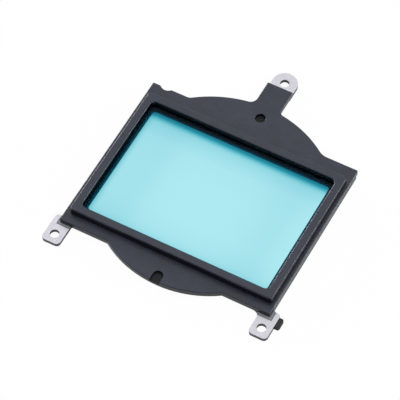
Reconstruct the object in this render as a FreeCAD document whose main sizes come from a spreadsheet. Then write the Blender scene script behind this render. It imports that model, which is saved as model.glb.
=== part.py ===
import FreeCAD, Part
import os
import Sketcher
from FreeCAD import Vector

# Optical low-pass filter of a full-frame camera, with its mounting frame.
# The optical axis is +Z and leaves the front, the origin lies on that axis in
# the rear seating plane, and +Y points to the single upper fixing eye.

# Driving sizes in millimetres, with angles in degrees.
SIZES = {
    # Filter stack: four cemented plates of one outline.
    "stack_width": 39.7,
    "stack_depth": 28.1,
    "rear_lowpass_thickness": 0.4,
    "infrared_thickness": 0.5,
    "wave_plate_thickness": 0.15,
    "front_lowpass_thickness": 0.4,
    "glass_corner": 0.3,
    "glass_bevel": 0.06,
    # Light shield behind the stack and gasket before it.
    "shield_thickness": 0.1,
    "shield_land_side": 1.3,
    "shield_land_front": 1.5,
    "aperture_corner": 0.5,
    "gasket_thickness": 0.1,
    "gasket_setback": 0.1,
    # Moulded frame: flange with its tab, and raised bezel.
    "stack_clearance": 0.1,
    "bezel_wall": 1.0,
    "bezel_height": 1.5,
    "bezel_corner": 0.7,
    "bezel_draft": 3.0,
    "bezel_round": 0.25,
    "lip_side": 0.55,
    "lip_front": 0.6,
    "window_corner": 0.95,
    "rim_round": 0.3,
    "flange_left": 0.88,
    "flange_right": 0.62,
    "flange_front": 2.0,
    "flange_back": 3.14,
    "flange_thickness": 1.0,
    "flange_round": 0.18,
    "sharp_corner": 0.25,
    "back_right_corner": 0.3,
    "upper_arc_radius": 22.8,
    "upper_arc_rise": 4.85,
    "upper_right_blend": 3.0,
    "upper_left_blend": 1.5,
    "lower_arc_radius": 21.15,
    "lower_arc_rise": 3.6,
    "lower_blend": 1.0,
    "tab_width": 5.34,
    "tab_length": 5.41,
    "tab_right_root": 1.0,
    "tab_left_root": 1.4,
    "slot_width": 2.0,
    "slot_reach": 1.4,
    "slot_cut": 0.6,
    "recess_diameter": 2.0,
    "recess_inset": 2.79,
    "recess_cut": 0.7,
    "mouth_round": 0.12,
    "notch_radius": 1.5,
    "notch_cut": 0.55,
    "notch_inset": 2.75,
    "notch_blend": 0.35,
    # Ear plate: one sheet-metal blank under the frame, with three fixing ears.
    "plate_thickness": 0.8,
    "plate_setback": 0.4,
    "plate_back_setback": 0.7,
    "plate_land_side": 0.85,
    "plate_land_front": 0.95,
    "plate_window_corner": 1.0,
    "ear_hole_offset": 0.4,
    "ear_hole_drop": 2.65,
    "ear_hole": 1.8,
    "ear_width": 3.7,
    "ear_tip_reach": 1.9,
    "ear_root_reach": 4.05,
    "ear_corner": 0.8,
    "ear_root_corner": 0.6,
    "ear_inner_web": 1.5,
    "ear_outer_web": 0.8,
    "eye_width": 5.0,
    "eye_reach": 1.8,
    "eye_tail": 1.25,
    "eye_shoulder": 0.5,
    "neck_width": 3.8,
    # Bumper on the outer edge of the right-hand ear.
    "bumper_length": 2.2,
    "bumper_width": 0.95,
    "bumper_rise": 2.35,
    "bumper_corner": 0.4,
    "bumper_round": 0.12,
}

doc = FreeCAD.newDocument("lowpass_filter")
sheet = doc.addObject("Spreadsheet::Sheet", "sizes")
for row, (alias, size) in enumerate(SIZES.items(), start=1):
    sheet.set(f"A{row}", alias)
    sheet.set(f"B{row}", str(size))
    sheet.setAlias(f"B{row}", alias)
doc.recompute()

# Places that more than one piece takes its size from, as expressions.
STACK_X = "sizes.stack_width / 2"
STACK_Y = "sizes.stack_depth / 2"
POCKET_X = f"({STACK_X} + sizes.stack_clearance)"
POCKET_Y = f"({STACK_Y} + sizes.stack_clearance)"
BEZEL_X = f"({POCKET_X} + sizes.bezel_wall)"
BEZEL_Y = f"({POCKET_Y} + sizes.bezel_wall)"
WINDOW_X = f"({STACK_X} - sizes.lip_side)"
WINDOW_Y = f"({STACK_Y} - sizes.lip_front)"
LEFT = f"(0 - {BEZEL_X} - sizes.flange_left)"
RIGHT = f"({BEZEL_X} + sizes.flange_right)"
FRONT = f"(0 - {BEZEL_Y} - sizes.flange_front)"
BACK = f"({BEZEL_Y} + sizes.flange_back)"
UPPER_CROWN = f"({BACK} + sizes.upper_arc_rise)"
UPPER_CENTRE = f"({UPPER_CROWN} - sizes.upper_arc_radius)"
LOWER_CROWN = f"({FRONT} - sizes.lower_arc_rise)"
LOWER_CENTRE = f"({LOWER_CROWN} + sizes.lower_arc_radius)"
TAB_END = f"({UPPER_CROWN} + sizes.tab_length)"
EYE_Y = f"({TAB_END} + sizes.eye_reach)"
EAR_X = f"({BEZEL_X} + sizes.ear_hole_offset)"
EAR_Y = f"({FRONT} - sizes.ear_hole_drop)"
STACK_THICKNESS = (
    "(sizes.rear_lowpass_thickness + sizes.infrared_thickness"
    " + sizes.wave_plate_thickness + sizes.front_lowpass_thickness)"
)
POCKET_TOP = f"(sizes.shield_thickness + {STACK_THICKNESS} + sizes.gasket_thickness)"
BEZEL_TOP = "(sizes.flange_thickness + sizes.bezel_height)"


def number(expression):
    """Value of an expression in millimetres or degrees."""
    return float(sheet.evalExpression(expression))


def chord_half(radius, distance):
    """Expression for half the chord that a line cuts from a circle."""
    return f"sqrt(({radius}) ^ 2 - ({distance}) ^ 2)"


def new_body(name, height="0"):
    """Body named after its piece, lifted to its height over the seating plane."""
    body = doc.addObject("PartDesign::Body", name)
    body.Label = name
    body.setExpression("Placement.Base.z", height)
    return body


def new_sketch(body, name, height="0"):
    """Sketch parallel to the body's own XY plane."""
    sketch = body.newObject("Sketcher::SketchObject", name)
    plane = [item for item in body.Origin.OriginFeatures if item.Role == "XY_Plane"][0]
    sketch.AttachmentSupport = (plane, [""])
    sketch.MapMode = "FlatFace"
    sketch.setExpression("AttachmentOffset.Base.z", height)
    return sketch


def bind_point(sketch, geometry, end, x, y):
    """Ties one end of a sketch element to a place given by two expressions."""
    for kind, expression in (("DistanceX", x), ("DistanceY", y)):
        constraint = Sketcher.Constraint(kind, -1, 1, geometry, end, number(expression))
        index = sketch.addConstraint(constraint)
        sketch.setExpression(f"Constraints[{index}]", expression)


def add_outline(sketch, corners, arcs=None):
    """Closed outline through the corners; arcs gives the height of the centre on
    the axis of symmetry and the radius of each side that bulges outward."""
    arcs = arcs or {}
    count = len(corners)
    spots = [Vector(number(x), number(y), 0) for x, y in corners]
    sides = []
    for side, start in enumerate(spots):
        end = spots[(side + 1) % count]
        curve = Part.LineSegment(start, end)
        if side in arcs:
            outward = (end - start).cross(Vector(0, 0, 1)).normalize()
            centre = Vector(0, number(arcs[side][0]), 0)
            curve = Part.Arc(start, centre + outward * number(arcs[side][1]), end)
        index = sketch.addGeometry(curve, False)
        forward = sketch.getPoint(index, 1).distanceToPoint(start) < 1e-6
        first, last = (1, 2) if forward else (2, 1)
        bind_point(sketch, index, first, *corners[side])
        if side in arcs:
            height = Sketcher.Constraint("DistanceY", -1, 1, index, 3, number(arcs[side][0]))
            sketch.setExpression(f"Constraints[{sketch.addConstraint(height)}]", arcs[side][0])
        sides.append((index, first, last))
    for side, (index, _, last) in enumerate(sides):
        following, first, _ = sides[(side + 1) % count]
        sketch.addConstraint(Sketcher.Constraint("Coincident", index, last, following, first))
    doc.recompute()


def box_corners(x_low, x_high, y_low, y_high):
    """Corners of an upright rectangle."""
    return [(x_low, y_low), (x_high, y_low), (x_high, y_high), (x_low, y_high)]


def centred_box(half_x, half_y):
    """Corners of a rectangle about the optical axis."""
    return box_corners(f"-({half_x})", half_x, f"-({half_y})", half_y)


def box_places(half_x, half_y):
    """The same corners as places to look for upright edges."""
    return [(f"{u}({half_x})", f"{v}({half_y})") for u in ("-", "") for v in ("-", "")]


def add_circle(sketch, x, y, diameter):
    """Circle tied to its centre and diameter."""
    centre = Vector(number(x), number(y), 0)
    circle = Part.Circle(centre, Vector(0, 0, 1), number(diameter) / 2)
    geometry = sketch.addGeometry(circle, False)
    bind_point(sketch, geometry, 3, x, y)
    index = sketch.addConstraint(Sketcher.Constraint("Diameter", geometry, number(diameter)))
    sketch.setExpression(f"Constraints[{index}]", diameter)


def add_pad(body, sketch, length, draft="0"):
    """Solid raised from a sketch along +Z."""
    pad = body.newObject("PartDesign::Pad", f"{sketch.Name}_pad")
    pad.Profile = sketch
    pad.setExpression("Length", length)
    pad.setExpression("TaperAngle", draft)
    doc.recompute()
    return pad


def add_pocket(body, sketch, length=None):
    """Cut sunk from a sketch along -Z, right through where no length is given."""
    before = body.Shape.Volume
    pocket = body.newObject("PartDesign::Pocket", f"{sketch.Name}_cut")
    pocket.Profile = sketch
    if length is None:
        pocket.Type = "ThroughAll"
    else:
        pocket.setExpression("Length", length)
    doc.recompute()
    if body.Shape.Volume >= before:
        raise ValueError(f"{pocket.Name} removes nothing")
    return pocket


def upright_edges(shape, x, y):
    """Names of the edges parallel to Z that stand at one place."""
    spot = (number(x), number(y))
    names = []
    for index, edge in enumerate(shape.Edges, start=1):
        ends = [vertex.Point for vertex in edge.Vertexes]
        if len(ends) != 2:
            continue
        near = [abs(p.x - spot[0]) < 0.01 and abs(p.y - spot[1]) < 0.01 for p in ends]
        if all(near):
            names.append(f"Edge{index}")
    return names


def rim_edges(shape, height, keep):
    """Names of the edges in one level plane whose middle passes a test."""
    level = number(height)
    names = []
    for index, edge in enumerate(shape.Edges, start=1):
        box = edge.BoundBox
        if box.ZMax - level > 0.001 or level - box.ZMin > 0.001:
            continue
        middle = edge.valueAt((edge.FirstParameter + edge.LastParameter) / 2)
        if keep(middle):
            names.append(f"Edge{index}")
    return names


def add_dressup(body, kind, name, size, edges):
    """Fillet or chamfer of named edges on the body's last feature."""
    if not edges:
        raise ValueError(f"{name} finds no edge")
    base = body.Tip
    dressup = body.newObject(f"PartDesign::{kind}", name)
    dressup.Base = (base, edges)
    dressup.setExpression("Radius" if kind == "Fillet" else "Size", size)
    body.Tip = dressup
    doc.recompute()
    if dressup.Shape.isNull():
        raise ValueError(f"{name} can not be made")
    return dressup


def round_corners(body, name, radius, places):
    """Fillet of the upright edges at the given places."""
    shape = body.Tip.Shape
    edges = [edge for x, y in places for edge in upright_edges(shape, x, y)]
    return add_dressup(body, "Fillet", name, radius, edges)


def make_ear_plate():
    """Stamped sheet plate: a ring under the frame, two lower ears, one upper eye."""
    body = new_body("ear_plate")
    front = f"({FRONT} + sizes.plate_setback)"
    back = f"({BACK} - sizes.plate_back_setback)"
    upper_radius = "(sizes.upper_arc_radius - sizes.plate_back_setback)"
    lower_radius = "(sizes.lower_arc_radius - sizes.plate_setback)"
    upper_half = chord_half(upper_radius, f"{back} - {UPPER_CENTRE}")
    lower_half = chord_half(lower_radius, f"{front} - {LOWER_CENTRE}")
    ring = new_sketch(body, "plate_ring")
    corners = [
        (LEFT, front), (f"-{lower_half}", front), (lower_half, front), (RIGHT, front),
        (RIGHT, back), (upper_half, back), (f"-{upper_half}", back), (LEFT, back),
    ]
    add_outline(ring, corners, {1: (LOWER_CENTRE, lower_radius), 5: (UPPER_CENTRE, upper_radius)})
    add_pad(body, ring, "sizes.plate_thickness")

    inner = f"({EAR_X} - sizes.ear_width / 2)"
    outer = f"({EAR_X} + sizes.ear_width / 2)"
    ear_tip = f"({EAR_Y} - sizes.ear_tip_reach)"
    ear_root = f"({EAR_Y} + sizes.ear_root_reach)"
    for side, low, high in (("left", f"-{outer}", f"-{inner}"), ("right", inner, outer)):
        ear = new_sketch(body, f"{side}_ear")
        add_outline(ear, box_corners(low, high, ear_tip, ear_root))
        add_pad(body, ear, "sizes.plate_thickness")

    neck_half = "(sizes.neck_width / 2)"
    neck = new_sketch(body, "eye_neck")
    add_outline(neck, box_corners(f"-{neck_half}", neck_half, back, TAB_END))
    add_pad(body, neck, "sizes.plate_thickness")
    eye_half = "(sizes.eye_width / 2)"
    eye_tail = f"({TAB_END} - sizes.eye_tail)"
    eye = new_sketch(body, "eye")
    corners = box_corners(f"-{eye_half}", eye_half, eye_tail, EYE_Y)
    add_outline(eye, corners, {2: (EYE_Y, eye_half)})
    add_pad(body, eye, "sizes.plate_thickness")

    window = new_sketch(body, "plate_window", "sizes.plate_thickness")
    window_x = f"({STACK_X} - sizes.plate_land_side)"
    window_y = f"({STACK_Y} - sizes.plate_land_front)"
    add_outline(window, centred_box(window_x, window_y))
    add_pocket(body, window)
    holes = new_sketch(body, "fixing_holes", "sizes.plate_thickness")
    add_circle(holes, f"-{EAR_X}", EAR_Y, "sizes.ear_hole")
    add_circle(holes, EAR_X, EAR_Y, "sizes.ear_hole")
    add_circle(holes, "0", EYE_Y, "sizes.ear_hole")
    add_pocket(body, holes)

    round_corners(body, "window_corners", "sizes.plate_window_corner", box_places(window_x, window_y))
    tips = [(f"{sign}{x}", ear_tip) for sign in ("-", "") for x in (inner, outer)]
    round_corners(body, "ear_tips", "sizes.ear_corner", tips)
    round_corners(body, "ear_roots", "sizes.ear_root_corner", [(f"-{outer}", ear_root), (outer, ear_root)])
    round_corners(body, "inner_web", "sizes.ear_inner_web", [(inner, front)])
    round_corners(body, "left_web", "sizes.sharp_corner", [(f"-{inner}", front)])
    round_corners(body, "outer_web", "sizes.ear_outer_web", [(RIGHT, ear_root)])
    shoulders = [(f"-{eye_half}", eye_tail), (eye_half, eye_tail)]
    round_corners(body, "eye_shoulders", "sizes.eye_shoulder", shoulders)
    return body


def make_ring(name, height, thickness, inner_x, inner_y, corner):
    """Flat die-cut ring with the stack's outline."""
    body = new_body(name, height)
    sketch = new_sketch(body, f"{name}_outline")
    add_outline(sketch, centred_box(STACK_X, STACK_Y))
    add_pad(body, sketch, thickness)
    opening = new_sketch(body, f"{name}_opening", thickness)
    add_outline(opening, centred_box(inner_x, inner_y))
    add_pocket(body, opening)
    round_corners(body, f"{name}_corners", corner, box_places(inner_x, inner_y))
    return body


def make_optic(name, height, thickness):
    """Ground and polished plate with clipped corners and bevelled edges."""
    body = new_body(name, height)
    sketch = new_sketch(body, f"{name}_outline")
    add_outline(sketch, centred_box(STACK_X, STACK_Y))
    add_pad(body, sketch, thickness)
    shape = body.Tip.Shape
    edges = [edge for x, y in box_places(STACK_X, STACK_Y) for edge in upright_edges(shape, x, y)]
    add_dressup(body, "Chamfer", f"{name}_corners", "sizes.glass_corner", edges)
    rims = rim_edges(body.Tip.Shape, "0", lambda p: True)
    rims += rim_edges(body.Tip.Shape, thickness, lambda p: True)
    add_dressup(body, "Chamfer", f"{name}_bevel", "sizes.glass_bevel", rims)
    return body


def make_moulded_frame():
    """Black moulding: flange with its tab, and bezel over the filter stack."""
    body = new_body("moulded_frame", "sizes.plate_thickness")
    tab_half = "(sizes.tab_width / 2)"
    upper_half = chord_half("sizes.upper_arc_radius", f"{BACK} - {UPPER_CENTRE}")
    lower_half = chord_half("sizes.lower_arc_radius", f"{FRONT} - {LOWER_CENTRE}")
    tab_root = f"({UPPER_CENTRE} + {chord_half('sizes.upper_arc_radius', tab_half)})"
    flange = new_sketch(body, "flange")
    corners = [
        (LEFT, FRONT), (f"-{lower_half}", FRONT), (lower_half, FRONT), (RIGHT, FRONT),
        (RIGHT, BACK), (upper_half, BACK), (tab_half, tab_root), (tab_half, TAB_END),
        (f"-{tab_half}", TAB_END), (f"-{tab_half}", tab_root), (f"-{upper_half}", BACK), (LEFT, BACK),
    ]
    upper = (UPPER_CENTRE, "sizes.upper_arc_radius")
    lower = (LOWER_CENTRE, "sizes.lower_arc_radius")
    add_outline(flange, corners, {1: lower, 5: upper, 9: upper})
    add_pad(body, flange, "sizes.flange_thickness")

    notch_x = f"({LEFT} + sizes.notch_inset)"
    notch_y = f"({BACK} + sizes.notch_radius - sizes.notch_cut)"
    notch = new_sketch(body, "notch", "sizes.flange_thickness")
    add_circle(notch, notch_x, notch_y, "2 * sizes.notch_radius")
    add_pocket(body, notch, "sizes.flange_thickness")

    notch_half = chord_half("sizes.notch_radius", "sizes.notch_radius - sizes.notch_cut")
    notch_ends = [(f"{notch_x} {sign} {notch_half}", BACK) for sign in ("-", "+")]
    round_corners(body, "notch_ends", "sizes.notch_blend", notch_ends)
    round_corners(body, "sharp_corners", "sizes.sharp_corner", [(LEFT, FRONT), (RIGHT, FRONT), (LEFT, BACK)])
    round_corners(body, "back_corner", "sizes.back_right_corner", [(RIGHT, BACK)])
    round_corners(body, "right_blend", "sizes.upper_right_blend", [(upper_half, BACK)])
    round_corners(body, "left_blend", "sizes.upper_left_blend", [(f"-{upper_half}", BACK)])
    lower_ends = [(f"-{lower_half}", FRONT), (lower_half, FRONT)]
    round_corners(body, "lower_blends", "sizes.lower_blend", lower_ends)
    round_corners(body, "tab_right", "sizes.tab_right_root", [(tab_half, tab_root)])
    round_corners(body, "tab_left", "sizes.tab_left_root", [(f"-{tab_half}", tab_root)])
    outline = rim_edges(body.Tip.Shape, "sizes.flange_thickness", lambda p: True)
    add_dressup(body, "Fillet", "flange_edge", "sizes.flange_round", outline)

    bezel = new_sketch(body, "bezel", "sizes.flange_thickness")
    add_outline(bezel, centred_box(BEZEL_X, BEZEL_Y))
    add_pad(body, bezel, "sizes.bezel_height", "-sizes.bezel_draft")
    window = new_sketch(body, "window", BEZEL_TOP)
    add_outline(window, centred_box(WINDOW_X, WINDOW_Y))
    add_pocket(body, window)
    pocket = new_sketch(body, "stack_pocket", POCKET_TOP)
    add_outline(pocket, centred_box(POCKET_X, POCKET_Y))
    add_pocket(body, pocket)
    round_bezel(body)

    slot_y = f"({LOWER_CROWN} + sizes.slot_reach)"
    slot_half = "(sizes.slot_width / 2)"
    slot = new_sketch(body, "slot", "sizes.flange_thickness")
    past_edge = f"({LOWER_CROWN} - sizes.slot_width)"
    corners = box_corners(f"-{slot_half}", slot_half, past_edge, slot_y)
    add_outline(slot, corners, {2: (slot_y, slot_half)})
    add_pocket(body, slot, "sizes.slot_cut")
    recess = new_sketch(body, "recess", "sizes.flange_thickness")
    recess_y = f"({UPPER_CROWN} - sizes.recess_inset)"
    add_circle(recess, "0", recess_y, "sizes.recess_diameter")
    add_pocket(body, recess, "sizes.recess_cut")
    mouth = number("sizes.recess_diameter") / 2
    centre = Vector(0, number(recess_y), number("sizes.flange_thickness"))
    rim = rim_edges(
        body.Tip.Shape,
        "sizes.flange_thickness",
        lambda p: abs(p.distanceToPoint(centre) - mouth) < 0.01,
    )
    add_dressup(body, "Fillet", "recess_mouth", "sizes.mouth_round", rim)
    return body


def round_bezel(body):
    """Corner radii of the bezel and its window, then their soft top edges."""
    shape = body.Tip.Shape
    bezel_x = number(BEZEL_X)
    bezel_y = number(BEZEL_Y)
    low = number("sizes.flange_thickness")
    high = number(BEZEL_TOP)
    corners = []
    for index, edge in enumerate(shape.Edges, start=1):
        ends = [vertex.Point for vertex in edge.Vertexes]
        if len(ends) != 2 or abs(abs(ends[0].z - ends[1].z) - (high - low)) > 0.01:
            continue
        base = min(ends, key=lambda p: p.z)
        if abs(abs(base.x) - bezel_x) < 0.01 and abs(abs(base.y) - bezel_y) < 0.01:
            corners.append(f"Edge{index}")
    add_dressup(body, "Fillet", "bezel_corners", "sizes.bezel_corner", corners)
    round_corners(body, "lip_corners", "sizes.window_corner", box_places(WINDOW_X, WINDOW_Y))
    window_x = number(WINDOW_X)
    window_y = number(WINDOW_Y)

    def on_window(point):
        return abs(point.x) < window_x + 0.001 and abs(point.y) < window_y + 0.001

    outer = rim_edges(body.Tip.Shape, BEZEL_TOP, lambda p: not on_window(p))
    add_dressup(body, "Fillet", "bezel_edge", "sizes.bezel_round", outer)
    inner = rim_edges(body.Tip.Shape, BEZEL_TOP, on_window)
    add_dressup(body, "Fillet", "window_edge", "sizes.rim_round", inner)


def make_edge_bumper():
    """Small black bumper bonded to the outer edge of the right-hand ear."""
    body = new_body("edge_bumper")
    face = f"({EAR_X} + sizes.ear_width / 2)"
    tip = f"({face} + sizes.bumper_width)"
    middle = f"({EAR_Y} + sizes.bumper_rise)"
    low = f"({middle} - sizes.bumper_length / 2)"
    high = f"({middle} + sizes.bumper_length / 2)"
    sketch = new_sketch(body, "bumper_outline")
    add_outline(sketch, box_corners(face, tip, low, high))
    add_pad(body, sketch, "sizes.plate_thickness")
    round_corners(body, "bumper_corners", "sizes.bumper_corner", [(tip, low), (tip, high)])
    seat = number(face)
    rim = rim_edges(body.Tip.Shape, "sizes.plate_thickness", lambda p: p.x - seat > 0.01)
    add_dressup(body, "Fillet", "bumper_edge", "sizes.bumper_round", rim)
    return body


shield_z = "sizes.plate_thickness"
rear_lowpass_z = f"{shield_z} + sizes.shield_thickness"
infrared_z = f"{rear_lowpass_z} + sizes.rear_lowpass_thickness"
wave_plate_z = f"{infrared_z} + sizes.infrared_thickness"
front_lowpass_z = f"{wave_plate_z} + sizes.wave_plate_thickness"
gasket_z = f"{front_lowpass_z} + sizes.front_lowpass_thickness"
shield_opening = (
    f"({STACK_X} - sizes.shield_land_side)",
    f"({STACK_Y} - sizes.shield_land_front)",
    "sizes.aperture_corner",
)
gasket_opening = (
    f"({WINDOW_X} + sizes.gasket_setback)",
    f"({WINDOW_Y} + sizes.gasket_setback)",
    "sizes.window_corner",
)

pieces = [
    make_ear_plate(),
    make_ring("light_shield", shield_z, "sizes.shield_thickness", *shield_opening),
    make_optic("rear_lowpass_plate", rear_lowpass_z, "sizes.rear_lowpass_thickness"),
    make_optic("infrared_glass", infrared_z, "sizes.infrared_thickness"),
    make_optic("wave_plate", wave_plate_z, "sizes.wave_plate_thickness"),
    make_optic("front_lowpass_plate", front_lowpass_z, "sizes.front_lowpass_thickness"),
    make_ring("front_gasket", gasket_z, "sizes.gasket_thickness", *gasket_opening),
    make_moulded_frame(),
    make_edge_bumper(),
]
doc.recompute()

for item in doc.Objects:
    if "Invalid" in item.State or "Error" in item.State:
        raise RuntimeError(f"{item.Name} is in state {item.State}")
for piece in pieces:
    if piece.Shape.isNull() or not piece.Shape.isValid() or len(piece.Shape.Solids) != 1:
        raise RuntimeError(f"{piece.Label} is not one valid solid")

os.makedirs("parts", exist_ok=True)
for piece in pieces:
    piece.Shape.exportStep(os.path.join("parts", f"{piece.Label}.step"))
    print(f"{piece.Label}: {piece.Shape.Volume:.3f} mm3")
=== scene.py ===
import math
import bmesh
import bpy
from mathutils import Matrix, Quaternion, Vector


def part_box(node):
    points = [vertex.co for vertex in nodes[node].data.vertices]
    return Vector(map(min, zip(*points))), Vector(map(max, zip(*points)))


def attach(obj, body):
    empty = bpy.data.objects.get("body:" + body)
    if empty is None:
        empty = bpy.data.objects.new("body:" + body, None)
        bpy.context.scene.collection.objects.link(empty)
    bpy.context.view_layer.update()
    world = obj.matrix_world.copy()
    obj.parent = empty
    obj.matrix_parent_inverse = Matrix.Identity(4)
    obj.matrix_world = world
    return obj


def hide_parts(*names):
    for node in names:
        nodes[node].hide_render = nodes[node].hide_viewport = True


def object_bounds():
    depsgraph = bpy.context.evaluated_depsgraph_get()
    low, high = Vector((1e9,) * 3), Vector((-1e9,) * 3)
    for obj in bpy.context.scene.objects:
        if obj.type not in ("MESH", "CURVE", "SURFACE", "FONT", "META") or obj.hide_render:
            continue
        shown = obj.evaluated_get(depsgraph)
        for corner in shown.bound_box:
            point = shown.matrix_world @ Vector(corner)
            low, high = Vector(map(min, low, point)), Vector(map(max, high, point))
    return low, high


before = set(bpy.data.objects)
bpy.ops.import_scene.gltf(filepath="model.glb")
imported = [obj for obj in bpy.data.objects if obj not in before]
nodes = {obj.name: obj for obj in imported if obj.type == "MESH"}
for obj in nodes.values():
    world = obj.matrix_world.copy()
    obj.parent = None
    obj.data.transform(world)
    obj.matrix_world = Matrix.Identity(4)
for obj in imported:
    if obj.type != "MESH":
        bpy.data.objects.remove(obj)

cad_low, cad_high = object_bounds()
scene = bpy.context.scene


# Camera and light: a copy stand. The camera looks down from the front right through a
# long lens. A wide soft box hangs overhead, two low ones stand behind and two small ones
# in front, in a white tent with a dark curtain on the camera's side.
CAMERA_PLACE = (0.12997194, -0.23575533, 0.39710948)
CAMERA_TURN = (0.92675939, 0.28389490, 0.07634998, 0.23386193)
SENSOR_WIDTH = 36.0
FOCAL_LENGTH = 234.0
TENT_LIGHT = 0.18
TENT_COLOUR = (0.88, 0.95, 1.0, 1.0)
WHITE = (1.0, 1.0, 1.0, 1.0)

# Where the tent's walls and its curtain start and end, as parts of a unit direction.
WALL_TOP = 0.75
WALL_FOOT = 0.35
CURTAIN_EDGE = 0.0
CURTAIN_MIDDLE = -0.70
CURTAIN_TONE = 0.10

view = bpy.data.cameras.new("copy_camera")
view.sensor_fit = "HORIZONTAL"
view.sensor_width = SENSOR_WIDTH
view.lens = FOCAL_LENGTH
view.clip_start = 0.01
view.clip_end = 20.0
camera = bpy.data.objects.new("copy_camera", view)
camera.location = CAMERA_PLACE
camera.rotation_mode = "QUATERNION"
camera.rotation_quaternion = Quaternion(CAMERA_TURN)
scene.collection.objects.link(camera)
scene.camera = camera
scene.view_settings.view_transform = "Standard"


def soft_box(name, towards, distance, width, height, radiance, colour):
    """A rectangular lamp that faces the part from the given direction."""
    lamp = bpy.data.lights.new(name, "AREA")
    lamp.shape = "RECTANGLE"
    lamp.size = width
    lamp.size_y = height
    lamp.energy = radiance * math.pi * width * height
    lamp.color = colour
    holder = bpy.data.objects.new(name, lamp)
    holder.location = Vector(towards).normalized() * distance
    holder.rotation_mode = "QUATERNION"
    holder.rotation_quaternion = Vector(towards).to_track_quat("Z", "Y")
    scene.collection.objects.link(holder)


soft_box("overhead_soft_box", towards=(-0.15, 0.21, 0.96), distance=1.0,
         width=2.20, height=1.24, radiance=0.94, colour=(1.0, 1.0, 1.0))
soft_box("left_soft_box", towards=(-0.85, 0.46, 0.19), distance=0.8,
         width=0.28, height=0.18, radiance=18.0, colour=(0.98, 0.97, 1.0))
soft_box("right_soft_box", towards=(0.82, 0.49, 0.20), distance=0.8,
         width=0.30, height=0.18, radiance=14.0, colour=(0.86, 0.93, 1.0))
soft_box("right_spot_box", towards=(0.695, -0.475, 0.54), distance=0.8,
         width=0.34, height=0.34, radiance=5.0, colour=(0.98, 0.98, 1.0))
soft_box("left_spot_box", towards=(-0.966, -0.22, 0.17), distance=0.8,
         width=0.22, height=0.18, radiance=14.0, colour=(0.98, 0.98, 1.0))


def add_node(tree, kind, x, y, **values):
    """One node in a tree, with named sockets or settings given their values."""
    node = tree.nodes.new(kind)
    node.location = (x, y)
    for name, value in values.items():
        if hasattr(node, name):
            setattr(node, name, value)
        else:
            node.inputs[name.replace("_", " ")].default_value = value
    return node


def feed(tree, socket, value):
    """Give a socket another node's output, a colour of three numbers, or a number."""
    if isinstance(value, bpy.types.NodeSocket):
        tree.links.new(value, socket)
    elif isinstance(value, tuple):
        socket.default_value = (*value, 1.0)
    else:
        socket.default_value = value


def work_out(tree, operation, x, y, *values):
    """One step of arithmetic on numbers or other nodes' outputs."""
    step = add_node(tree, "ShaderNodeMath", x, y, operation=operation)
    for value, socket in zip(values, step.inputs):
        feed(tree, socket, value)
    return step.outputs[0]


def map_value(tree, value, low, high, x, y, start=0.0, stop=1.0):
    """A value that runs from low to high while another runs from start to stop."""
    span = add_node(tree, "ShaderNodeMapRange", x, y,
                    From_Min=start, From_Max=stop, To_Min=low, To_Max=high)
    tree.links.new(value, span.inputs["Value"])
    return span.outputs[0]


def split(tree, vector, x, y):
    """The X, Y and Z of a vector."""
    parts = add_node(tree, "ShaderNodeSeparateXYZ", x, y)
    tree.links.new(vector, parts.inputs[0])
    return parts.outputs


def choose_shader(tree, factor, first, second, x, y):
    """The first shader where the factor is 0, and the second where it is 1."""
    choice = add_node(tree, "ShaderNodeMixShader", x, y)
    for source, socket in zip((factor, first, second), choice.inputs):
        tree.links.new(source, socket)
    return choice.outputs[0]


def blank_tree(owner):
    """The node tree of a world or a material, emptied."""
    owner.use_nodes = True
    owner.node_tree.nodes.clear()
    return owner.node_tree


def put_out(tree, kind, shader, x, y):
    """The output node, which shows a shader."""
    out = add_node(tree, kind, x, y)
    tree.links.new(shader, out.inputs["Surface"])


# The camera, and what it sees through the glass, meet plain white. A gloss mirrors the
# tent's walls, which fade out upwards and darken to the curtain at the front.
tent = bpy.data.worlds.new("light_tent")
scene.world = tent
tree = blank_tree(tent)
rays = add_node(tree, "ShaderNodeLightPath", -1000, 300).outputs
around = add_node(tree, "ShaderNodeTexCoord", -1200, -100)
towards = split(tree, around.outputs["Generated"], -1000, -100)
walls = map_value(tree, towards["Z"], 0.0, 1.0, -800, -100, WALL_TOP, WALL_FOOT)
curtain = map_value(tree, towards["Y"], CURTAIN_TONE, 1.0, -800, -350, CURTAIN_MIDDLE, CURTAIN_EDGE)
hung = work_out(tree, "MULTIPLY", -600, -150, walls, curtain)
mirrored = work_out(tree, "MULTIPLY", -600, 100, rays["Is Glossy Ray"], hung)
seen = work_out(tree, "MAXIMUM", -600, 300, rays["Is Camera Ray"], rays["Is Transmission Ray"])
backdrop = work_out(tree, "MAXIMUM", -400, 200, seen, mirrored)
lighting = add_node(tree, "ShaderNodeBackground", -200, 0, Color=TENT_COLOUR, Strength=TENT_LIGHT)
white = add_node(tree, "ShaderNodeBackground", -200, -150, Color=WHITE, Strength=1.0)
lit_tent = choose_shader(tree, backdrop, lighting.outputs[0], white.outputs[0], 0, 0)
put_out(tree, "ShaderNodeOutputWorld", lit_tent, 200, 0)


# Table: a sheet of white card, far larger than the part, just under it. It keeps the
# part's soft shadow, and what the camera and the glass see of it is lifted to paper
# white, with less of that lift where a gloss mirrors it.
MM = 0.001
TABLE_REACH = 3.0
TABLE_GAP = 0.02 * MM
CAMERA_LIFT = 0.97
GLOSS_LIFT = 0.30
CORNERS = ((-1, -1), (1, -1), (1, 1), (-1, 1))

card = bpy.data.meshes.new("table_card")
card.from_pydata([(TABLE_REACH * sx, TABLE_REACH * sy, 0) for sx, sy in CORNERS], [], [(0, 1, 2, 3)])
table = bpy.data.objects.new("table_card", card)
table.location.z = cad_low[2] - TABLE_GAP
scene.collection.objects.link(table)

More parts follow.
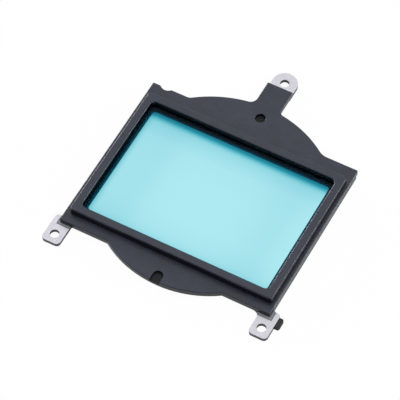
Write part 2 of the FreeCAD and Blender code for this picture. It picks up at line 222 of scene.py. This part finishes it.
white_card = bpy.data.materials.new("white_card")
tree = blank_tree(white_card)
rays = add_node(tree, "ShaderNodeLightPath", -800, 200).outputs
fibre = add_node(tree, "ShaderNodeTexNoise", -800, -200, Scale=900.0, Detail=3.0)
paper = add_node(tree, "ShaderNodeBsdfDiffuse", -300, 0)
tree.links.new(map_value(tree, fibre.outputs[0], 0.93, 0.97, -600, -200), paper.inputs["Color"])
glow = add_node(tree, "ShaderNodeEmission", -300, -150, Color=WHITE, Strength=1.0)
by_camera = work_out(tree, "MULTIPLY", -600, 300, rays["Is Camera Ray"], CAMERA_LIFT)
by_gloss = work_out(tree, "MULTIPLY", -600, 150, rays["Is Glossy Ray"], GLOSS_LIFT)
lift = work_out(tree, "MAXIMUM", -450, 250, by_camera, by_gloss)
lift = work_out(tree, "MAXIMUM", -300, 200, lift, rays["Is Transmission Ray"])
lit_card = choose_shader(tree, lift, paper.outputs[0], glow.outputs[0], 0, 0)
put_out(tree, "ShaderNodeOutputMaterial", lit_card, 200, 0)
card.materials.append(white_card)


# Ear plate: the stamped sheet that carries everything. Stainless steel, sprayed satin
# black with the ears masked, so their two faces stay bare; the cut edges and the
# drilled holes took the spray.
EAR_MASK_X = 22.25 * MM
EAR_MASK_Y = -17.7 * MM
EAR_MASK_INNER = 17.0 * MM
EYE_MASK_Y = 28.6 * MM
STRIP_FADE = (-1.4 * MM, -0.3 * MM)
MASK_EDGE_LINE = (-0.16 * MM, -0.08 * MM)
FLAT_FACE = 0.5
BARE_STEEL = ((0.600, 0.585, 0.632), (0.708, 0.690, 0.737))
SATIN_SPRAY = ((0.030, 0.032, 0.038), (0.060, 0.063, 0.070))
# Rubbed edges of the spray, painted lighter as a highlight on the wear.
WORN_SPRAY_HIGHLIGHT = (0.22, 0.22, 0.23)
LIGHT_STRIP_TONE = (0.28, 0.29, 0.32)

# Cosine of the turn between a rounded edge and its face, where the rub starts and
# where it is full.
RUB_STARTS = 0.985
RUB_FULL = 0.80

# The Mix node's first, second and result sockets, for numbers and for colours.
MIX_SOCKETS = {"FLOAT": (2, 3, 0), "RGBA": (6, 7, 2)}


def add_socket(group, name, way, value=None):
    """A named number that goes into a node group or comes out of it."""
    socket = group.interface.new_socket(name, in_out=way, socket_type="NodeSocketFloat")
    if value is not None:
        socket.default_value = value


def surface_grain():
    """Grain for a sprayed, moulded or rolled skin: a mottle from 0 to 1 and a height."""
    group = bpy.data.node_groups.new("surface_grain", "ShaderNodeTree")
    add_socket(group, "Grain Size", "INPUT", 0.1)
    add_socket(group, "Patch Size", "INPUT", 2.0)
    add_socket(group, "Mottle", "OUTPUT")
    add_socket(group, "Height", "OUTPUT")
    start = add_node(group, "NodeGroupInput", -900, 0)
    end = add_node(group, "NodeGroupOutput", 400, 0)
    place = add_node(group, "ShaderNodeTexCoord", -900, 300)
    fine_scale = work_out(group, "DIVIDE", -700, 100, 1 / MM, start.outputs["Grain Size"])
    patch_scale = work_out(group, "DIVIDE", -700, -100, 1 / MM, start.outputs["Patch Size"])
    fine = add_node(group, "ShaderNodeTexNoise", -500, 100, Detail=3.0, Roughness=0.55)
    patch = add_node(group, "ShaderNodeTexNoise", -500, -150, Detail=4.0, Roughness=0.6)
    for scale, noise in ((fine_scale, fine), (patch_scale, patch)):
        group.links.new(place.outputs["Object"], noise.inputs["Vector"])
        group.links.new(scale, noise.inputs["Scale"])
    half = work_out(group, "MULTIPLY", -350, -200, patch.outputs[0], 0.5)
    both = work_out(group, "MULTIPLY_ADD", -250, 0, fine.outputs[0], 0.5, half)
    mottle = map_value(group, both, 0.0, 1.0, 0, 100, 0.38, 0.62)
    group.links.new(mottle, end.inputs["Mottle"])
    group.links.new(fine.outputs[0], end.inputs["Height"])
    return group


def edge_rub():
    """A mask that is 1 on sharp outer edges, where a finish is rubbed smooth and painted lighter as a
    highlight.
    """
    group = bpy.data.node_groups.new("edge_rub", "ShaderNodeTree")
    add_socket(group, "Width", "INPUT", 0.1 * MM)
    add_socket(group, "Rub", "OUTPUT")
    start = add_node(group, "NodeGroupInput", -900, 0)
    end = add_node(group, "NodeGroupOutput", 400, 0)
    turned = add_node(group, "ShaderNodeBevel", -650, 0, samples=4)
    shape = add_node(group, "ShaderNodeNewGeometry", -650, -200)
    along = add_node(group, "ShaderNodeVectorMath", -400, 0, operation="DOT_PRODUCT")
    group.links.new(start.outputs["Width"], turned.inputs["Radius"])
    group.links.new(turned.outputs[0], along.inputs[0])
    group.links.new(shape.outputs["True Normal"], along.inputs[1])
    rub = map_value(group, along.outputs["Value"], 0.0, 1.0, -150, 0, RUB_STARTS, RUB_FULL)
    group.links.new(rub, end.inputs["Rub"])
    return group


GRAIN = surface_grain()
RUB = edge_rub()


def new_material(name):
    """An empty material that shows one Principled shader."""
    material = bpy.data.materials.new(name)
    tree = blank_tree(material)
    skin = add_node(tree, "ShaderNodeBsdfPrincipled", 300, 0)
    put_out(tree, "ShaderNodeOutputMaterial", skin.outputs[0], 600, 0)
    return material, tree, skin


def add_grain(tree, grain_size, patch_size, x=-900, y=0):
    """The grain, with the sizes of its grains and its patches in millimetres."""
    grain = add_node(tree, "ShaderNodeGroup", x, y, node_tree=GRAIN)
    grain.inputs["Grain Size"].default_value = grain_size
    grain.inputs["Patch Size"].default_value = patch_size
    return grain.outputs


def add_rub(tree, width, x=-900, y=-300):
    """The edge rub, with its width in millimetres."""
    rub = add_node(tree, "ShaderNodeGroup", x, y, node_tree=RUB)
    rub.inputs["Width"].default_value = width * MM
    return rub.outputs[0]


def mix_up(tree, kind, factor, first, second, x, y, way="MIX"):
    """Two numbers or two colours mixed by a factor."""
    first_in, second_in, result = MIX_SOCKETS[kind]
    mix = add_node(tree, "ShaderNodeMix", x, y, data_type=kind, blend_type=way)
    feed(tree, mix.inputs[0], factor)
    feed(tree, mix.inputs[first_in], first)
    feed(tree, mix.inputs[second_in], second)
    return mix.outputs[result]


def two_tones(tree, factor, dark, light, x, y):
    """A colour that runs between two others by a factor."""
    return mix_up(tree, "RGBA", factor, dark, light, x, y)


def raise_bump(tree, height, strength, distance, skin):
    """A bump on a skin, with its height in millimetres."""
    bump = add_node(tree, "ShaderNodeBump", 0, -400, Strength=strength, Distance=distance * MM)
    tree.links.new(height, bump.inputs["Height"])
    tree.links.new(bump.outputs[0], skin.inputs["Normal"])
    return bump


def dress(node, material):
    """Give a CAD node its finish, in every slot of its object."""
    for slot in nodes[node].material_slots:
        slot.material = material


masked_steel, tree, skin = new_material("masked_steel")
skin.inputs["IOR"].default_value = 1.6
place = add_node(tree, "ShaderNodeTexCoord", -1500, 600)
where = split(tree, place.outputs["Object"], -1300, 700)
facing = split(tree, place.outputs["Normal"], -1300, 500)

# How far a point lies past the edge of the nearest mask: beside the part, in front of
# it but clear of the front arc, or behind the neck of the eye.
sideways = work_out(tree, "ABSOLUTE", -1100, 850, where["X"])
beyond_side = work_out(tree, "SUBTRACT", -900, 850, sideways, EAR_MASK_X)
below_front = work_out(tree, "SUBTRACT", -900, 750, EAR_MASK_Y, where["Y"])
off_arc = work_out(tree, "SUBTRACT", -900, 950, sideways, EAR_MASK_INNER)
on_ear = work_out(tree, "MINIMUM", -750, 900, below_front, off_arc)
past_eye = work_out(tree, "SUBTRACT", -900, 650, where["Y"], EYE_MASK_Y)
past_mask = work_out(tree, "MAXIMUM", -750, 800, beyond_side, on_ear)
past_mask = work_out(tree, "MAXIMUM", -600, 750, past_mask, past_eye)

# Bare steel under the mask on the flat faces. Short of it the paint turns lighter grey,
# fading darker towards the frame, with a thin dark line along the mask's edge.
masked = work_out(tree, "GREATER_THAN", -450, 800, past_mask, 0.0)
level = work_out(tree, "ABSOLUTE", -1100, 500, facing["Z"])
flat = work_out(tree, "GREATER_THAN", -900, 500, level, FLAT_FACE)
bare = work_out(tree, "MULTIPLY", -300, 650, masked, flat)
strip_fade = map_value(tree, past_mask, 0.0, 1.0, -450, 500, *STRIP_FADE)
edge_line = map_value(tree, past_mask, 1.0, 0.0, -450, 350, *MASK_EDGE_LINE)
light_strip = work_out(tree, "MULTIPLY", -300, 450, strip_fade, edge_line)
light_strip = work_out(tree, "MULTIPLY", -200, 450, light_strip, flat)

rolled = add_grain(tree, grain_size=0.24, patch_size=1.4, x=-1100, y=200)
sprayed = add_grain(tree, grain_size=0.20, patch_size=2.5, x=-1100, y=-50)
rub = add_rub(tree, width=0.06, x=-1100, y=-300)
steel = two_tones(tree, rolled["Mottle"], *BARE_STEEL, -700, 250)
paint = two_tones(tree, sprayed["Mottle"], *SATIN_SPRAY, -700, 0)
# Edges lighter: wear, with a painted highlight.
wear_and_highlight = map_value(tree, rub, 0.0, 0.35, -900, -300)
paint = two_tones(tree, wear_and_highlight, paint, WORN_SPRAY_HIGHLIGHT, -500, -50)
paint = two_tones(tree, light_strip, paint, LIGHT_STRIP_TONE, -350, -50)
tree.links.new(two_tones(tree, bare, paint, steel, -200, 200), skin.inputs["Base Color"])
tree.links.new(bare, skin.inputs["Metallic"])
steel_rough = map_value(tree, rolled["Mottle"], 0.36, 0.50, -500, -200)
paint_rough = map_value(tree, sprayed["Mottle"], 0.38, 0.50, -500, -350)
rough = mix_up(tree, "FLOAT", bare, paint_rough, steel_rough, -200, -200)
tree.links.new(rough, skin.inputs["Roughness"])
raise_bump(tree, rolled["Height"], 0.25, 0.01, skin)
dress("ear_plate", masked_steel)


# Light shield: a ring of thin black film behind the glass. Its colour is painted light
# and shade: lighter teal at its inner edge, where light comes through, fading outwards
# into the painted shadow of the frame's lip. Its inner edge is the light aperture. Cut
# from sheet and laid on the plate.
APERTURE = (37.1 * MM / 2, 25.1 * MM / 2)
FILM_LIGHT_AND_SHADE = (
    (0.0, (0.028, 0.195, 0.260)),
    (0.30, (0.018, 0.140, 0.195)),
    (0.50, (0.008, 0.044, 0.070)),
    (0.9, (0.004, 0.015, 0.020)),
    (1.4, (0.001, 0.003, 0.005)),
)


def off_centre(tree, where, half, x, y):
    """How far a point lies outside a rectangle about the optical axis."""
    past = []
    for axis in (0, 1):
        side = work_out(tree, "ABSOLUTE", x + 150, y - 150 * axis, where[axis])
        past.append(work_out(tree, "SUBTRACT", x + 300, y - 150 * axis, side, half[axis]))
    return work_out(tree, "MAXIMUM", x + 450, y, *past)


def colour_stops(tree, distance, stops, x, y):
    """Colour by a distance, from stops that give it in millimetres."""
    reach = stops[-1][0]
    share = map_value(tree, distance, 0.0, 1.0, x, y, 0.0, reach * MM)
    ramp = add_node(tree, "ShaderNodeValToRGB", x + 150, y)
    elements = ramp.color_ramp.elements
    while len(elements) < len(stops):
        elements.new(1.0)
    for element, (at, tone) in zip(elements, stops):
        element.position = at / reach
        element.color = (*tone, 1.0)
    tree.links.new(share, ramp.inputs[0])
    return ramp.outputs[0]


def times(tree, first, second, x, y):
    """Two colours multiplied."""
    return mix_up(tree, "RGBA", 1.0, first, second, x, y, way="MULTIPLY")


black_film, tree, skin = new_material("black_film")
skin.inputs["Specular IOR Level"].default_value = 0.1
film = add_grain(tree, grain_size=0.05, patch_size=1.0)
place = add_node(tree, "ShaderNodeTexCoord", -1900, 300)
where = split(tree, place.outputs["Object"], -1700, 300)
outside = off_centre(tree, where, APERTURE, -1700, 300)
# Painted light at the inner edge, fading outwards into painted shade.
film_light_and_shade = colour_stops(tree, outside, FILM_LIGHT_AND_SHADE, -900, 300)
mottled = two_tones(tree, film["Mottle"], (0.75, 0.75, 0.75), (1.25, 1.25, 1.25), -500, 0)
tree.links.new(times(tree, film_light_and_shade, mottled, -250, 100), skin.inputs["Base Color"])
tree.links.new(map_value(tree, film["Mottle"], 0.6, 0.8, -500, -200), skin.inputs["Roughness"])
raise_bump(tree, film["Height"], 0.1, 0.003, skin)
dress("light_shield", black_film)


# Filter stack: four polished plates cemented into one block, the teal infrared glass
# third from the front. The cement has the glass's own index, so light bends only at
# the coated outer faces. The edges are ground, with hairline cement joints.
PLATES = ("rear_lowpass_plate", "infrared_glass", "wave_plate", "front_lowpass_plate")
STACK_CORNER = 0.3 * MM
STACK_BEVEL = 0.06 * MM
JOINT_DEPTH = 0.015 * MM
CORNER_STEPS = 8
POLISHED_FACE = 0.9
GROUND_ROUGHNESS = 0.45
STACK_TINT = (0.420, 0.820, 0.885)
DUSTY_TINT = tuple(0.99 * share + 0.01 for share in STACK_TINT)
FACE_TINT = tuple(share ** 0.5 for share in STACK_TINT)
MIRRORED_TINT = tuple(0.4 * share for share in FACE_TINT)
GROUND_CLEAR = (0.90, 0.93, 0.93)
GROUND_TEAL = (0.30, 0.72, 0.78)
COATING_TINT = (0.03, 0.04, 0.06, 1.0)

# The frame's shadow under the glass is painted into the glass's colour, darkening it
# towards the edges of the aperture. Each curve, judged from the photograph, gives the
# depth of that painted shadow by the distance in millimetres from one edge.
DEEPEST_SHADE = (0.0114, 0.223, 0.301)
RED_LAG = 1.13
FAR_SHADE = (
    (0.0, 1.0), (0.5, 1.0), (0.73, 0.87), (0.93, 0.68), (1.13, 0.53), (1.33, 0.36), (1.53, 0.27),
    (1.73, 0.19), (1.93, 0.14), (2.4, 0.10), (3.0, 0.08), (4.75, 0.04), (5.75, 0.02), (11.5, 0.0),
)
LEFT_SHADE = (
    (0.0, 0.3), (0.3, 0.22), (0.5, 0.16), (0.7, 0.13), (0.9, 0.09), (1.1, 0.065), (1.5, 0.045),
    (6.0, 0.045), (8.0, 0.03), (10.0, 0.012), (14.0, 0.0),
)
RIGHT_SHADE = ((0.0, 0.0), (1.0, 0.01), (4.0, 0.035), (7.0, 0.03), (11.0, 0.01), (15.0, 0.0))
NEAR_SHADE = ((0.0, 0.09), (0.4, 0.06), (0.9, 0.045), (1.4, 0.03), (3.4, 0.015), (5.5, 0.0))


def rounded_outline(half_x, half_y, radius, steps):
    """Points round a rectangle with rounded corners, counter-clockwise."""
    points = []
    for corner, (sx, sy) in enumerate(((1, 1), (-1, 1), (-1, -1), (1, -1))):
        for step in range(steps + 1):
            angle = math.radians(90.0 * (corner + step / steps))
            points.append((sx * (half_x - radius) + radius * math.cos(angle),
                           sy * (half_y - radius) + radius * math.sin(angle)))
    return points


stack_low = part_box(PLATES[0])[0]
stack_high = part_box(PLATES[-1])[1]
half_x = (stack_high.x - stack_low.x) / 2
half_y = (stack_high.y - stack_low.y) / 2
joints = [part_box(plate)[1].z for plate in PLATES[:-1]]
levels = [(stack_low.z, STACK_BEVEL), (stack_low.z + STACK_BEVEL, 0.0)]
for joint in joints:
    levels += [(joint - JOINT_DEPTH, 0.0), (joint, JOINT_DEPTH), (joint + JOINT_DEPTH, 0.0)]
levels += [(stack_high.z - STACK_BEVEL, 0.0), (stack_high.z, STACK_BEVEL)]

block = bmesh.new()
rings = []
for height, inset in levels:
    outline = rounded_outline(half_x - inset, half_y - inset, STACK_CORNER - inset, CORNER_STEPS)
    rings.append([block.verts.new((x, y, height)) for x, y in outline])
for under, over in zip(rings, rings[1:]):
    for i in range(len(under)):
        j = (i + 1) % len(under)
        block.faces.new((under[i], under[j], over[j], over[i]))
block.faces.new(list(reversed(rings[0])))
block.faces.new(rings[-1])
stack_mesh = bpy.data.meshes.new("filter_stack")
block.to_mesh(stack_mesh)
block.free()
filter_stack = bpy.data.objects.new("filter_stack", stack_mesh)
scene.collection.objects.link(filter_stack)
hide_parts(*PLATES)
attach(filter_stack, "root")


def shade_tone(depth):
    """What a shade of some depth leaves of each colour; thin shade takes less red."""
    red, green, blue = DEEPEST_SHADE
    return red ** depth ** RED_LAG, green ** depth, blue ** depth


coated_glass, tree, skin = new_material("coated_filter_glass")
skin.inputs["Transmission Weight"].default_value = 1.0
skin.inputs["IOR"].default_value = 1.5
skin.inputs["Specular Tint"].default_value = COATING_TINT
place = add_node(tree, "ShaderNodeTexCoord", -1500, 600)
where = split(tree, place.outputs["Object"], -1300, 400)
facing = split(tree, place.outputs["Normal"], -1300, 600)
level = work_out(tree, "ABSOLUTE", -1100, 600, facing["Z"])
polished = work_out(tree, "GREATER_THAN", -900, 600, level, POLISHED_FACE)
above = work_out(tree, "GREATER_THAN", -1100, 450, where["Z"], joints[0])
below = work_out(tree, "LESS_THAN", -1100, 350, where["Z"], joints[1])
teal_plate = work_out(tree, "MULTIPLY", -900, 400, above, below)
dust = add_grain(tree, grain_size=0.35, patch_size=6.0, x=-1300, y=0)
body = two_tones(tree, dust["Mottle"], STACK_TINT, DUSTY_TINT, -1000, 0)
# Each edge's painted shadow darkens the glass's colour in turn.
for axis, sign, shade in ((1, -1, FAR_SHADE), (0, 1, LEFT_SHADE), (0, -1, RIGHT_SHADE), (1, 1, NEAR_SHADE)):
    x, y = -1300, -300 - 200 * axis
    inward = work_out(tree, "MULTIPLY_ADD", x, y, where[axis], sign, APERTURE[axis])
    stops = [(distance, shade_tone(depth)) for distance, depth in shade]
    painted_shadow = colour_stops(tree, inward, stops, x + 200, y)
    body = times(tree, body, painted_shadow, x + 500, y)
ground = two_tones(tree, teal_plate, GROUND_CLEAR, GROUND_TEAL, -800, 200)
tree.links.new(two_tones(tree, polished, ground, body, -500, 100), skin.inputs["Base Color"])
tree.links.new(map_value(tree, polished, GROUND_ROUGHNESS, 0.0, -500, -200), skin.inputs["Roughness"])

# Shadows, soft light and what other surfaces mirror pass the glass unbent. What they
# mirror is dimmed further, so that the walls round the window stay dark.
rays = add_node(tree, "ShaderNodeLightPath", -1300, 900).outputs
straight = work_out(tree, "MAXIMUM", -1000, 900, rays["Is Shadow Ray"], rays["Is Diffuse Ray"])
bounced = work_out(tree, "SUBTRACT", -1000, 1050, rays["Is Glossy Ray"], rays["Is Transmission Ray"])
straight = work_out(tree, "MAXIMUM", -800, 950, straight, bounced)
clear = add_node(tree, "ShaderNodeBsdfTransparent", 300, 300)
tree.links.new(two_tones(tree, bounced, FACE_TINT, MIRRORED_TINT, 0, 300), clear.inputs["Color"])
seen_glass = choose_shader(tree, straight, skin.outputs[0], clear.outputs[0], 500, 100)
tree.links.new(seen_glass, tree.get_output_node("ALL").inputs["Surface"])
stack_mesh.materials.append(coated_glass)


# Front gasket: a thin ring of black foam film, pinched between the glass and the
# frame's lip.
def plain_skin(name, tones, grain_size, patch_size, roughness, bump, depth):
    """A skin of one soft stuff, whose tone and roughness follow its mottle."""
    material, tree, skin = new_material(name)
    grain = add_grain(tree, grain_size, patch_size)
    tree.links.new(two_tones(tree, grain["Mottle"], *tones, -500, 0), skin.inputs["Base Color"])
    tree.links.new(map_value(tree, grain["Mottle"], *roughness, -500, -200), skin.inputs["Roughness"])
    raise_bump(tree, grain["Height"], bump, depth, skin)
    return material


black_foam = plain_skin("black_foam", tones=((0.008, 0.008, 0.010), (0.022, 0.022, 0.025)),
                        grain_size=0.08, patch_size=1.2, roughness=(0.7, 0.9), bump=0.3, depth=0.01)
dress("front_gasket", black_foam)


# Moulded frame: flange, tab and bezel in one piece of black glass-filled plastic, with
# a fine spark-eroded grain on its flats. The walls drawn from the mould are smoother,
# and the edges are rubbed smoother still. The walls and the sunk floors are painted
# darker as shade, and the rubbed edges lighter as a painted highlight.
SUNK_BELOW = 1.5 * MM
MOULDING_TONES = ((0.002, 0.005, 0.015), (0.015, 0.022, 0.045))
WORN_EDGE_HIGHLIGHT = (0.030, 0.034, 0.050)
PAINTED_WALL_SHADE = (0.001, 0.002, 0.006)
PAINTED_RECESS_SHADE = (0.000, 0.000, 0.003)
FLAT_ROUGHNESS = 0.44
WALL_ROUGHNESS = 0.27
FLOOR_ROUGHNESS = 0.75
GRAIN_BUMP = 0.25

black_moulding, tree, skin = new_material("black_moulding")
skin.inputs["IOR"].default_value = 1.6
mould = add_grain(tree, grain_size=0.22, patch_size=3.0)
rub = add_rub(tree, width=0.08)
place = add_node(tree, "ShaderNodeTexCoord", -1300, 500)
where = split(tree, place.outputs["Object"], -1100, 600)
facing = split(tree, place.outputs["Normal"], -1100, 450)
sunk = work_out(tree, "LESS_THAN", -900, 600, where["Z"], SUNK_BELOW)
facing_up = work_out(tree, "GREATER_THAN", -900, 450, facing["Z"], FLAT_FACE)
sunk_floor = work_out(tree, "MULTIPLY", -700, 550, sunk, facing_up)
level = work_out(tree, "ABSOLUTE", -900, 300, facing["Z"])
wall = map_value(tree, level, 1.0, 0.0, -700, 300, 0.2, 0.9)

tone = two_tones(tree, mould["Mottle"], *MOULDING_TONES, -500, 0)
# Edges lighter: wear, with a painted highlight.
wear_and_highlight = map_value(tree, rub, 0.0, 0.5, -600, -300)
tone = two_tones(tree, wear_and_highlight, tone, WORN_EDGE_HIGHLIGHT, -200, 0)
# Upright walls painted darker, as shade.
tone = two_tones(tree, wall, tone, PAINTED_WALL_SHADE, 0, 250)
# Floors of the sunk recesses painted near black, as shade.
tone = two_tones(tree, sunk_floor, tone, PAINTED_RECESS_SHADE, 150, 100)
tree.links.new(tone, skin.inputs["Base Color"])

mottle = map_value(tree, mould["Mottle"], 0.90, 1.12, -500, -200)
drawn = map_value(tree, wall, FLAT_ROUGHNESS, WALL_ROUGHNESS, -500, -50)
polish = map_value(tree, rub, 1.0, 0.80, -500, -300)
finish = work_out(tree, "MULTIPLY", -350, -150, mottle, drawn)
finish = work_out(tree, "MULTIPLY", -200, -250, finish, polish)
coarse = map_value(tree, sunk_floor, 0.0, FLOOR_ROUGHNESS, -400, -550)
tree.links.new(work_out(tree, "MAXIMUM", 0, -250, finish, coarse), skin.inputs["Roughness"])

bump = raise_bump(tree, mould["Height"], GRAIN_BUMP, 0.012, skin)
rubbed = map_value(tree, rub, 0.0, 1.0, -400, -700, 0.0, 0.3)
smooth = work_out(tree, "MAXIMUM", -250, -600, wall, rubbed)
tree.links.new(map_value(tree, smooth, GRAIN_BUMP, 0.0, -100, -600), bump.inputs["Strength"])
dress("moulded_frame", black_moulding)


# Edge bumper: a small block of black rubber with rounded corners, which stands out from
# the plate. Moulded, and cemented to the right ear's outer edge.
black_rubber = plain_skin("black_rubber", tones=((0.008, 0.008, 0.010), (0.022, 0.022, 0.026)),
                          grain_size=0.15, patch_size=1.5, roughness=(0.55, 0.75), bump=0.4, depth=0.015)
dress("edge_bumper", black_rubber)
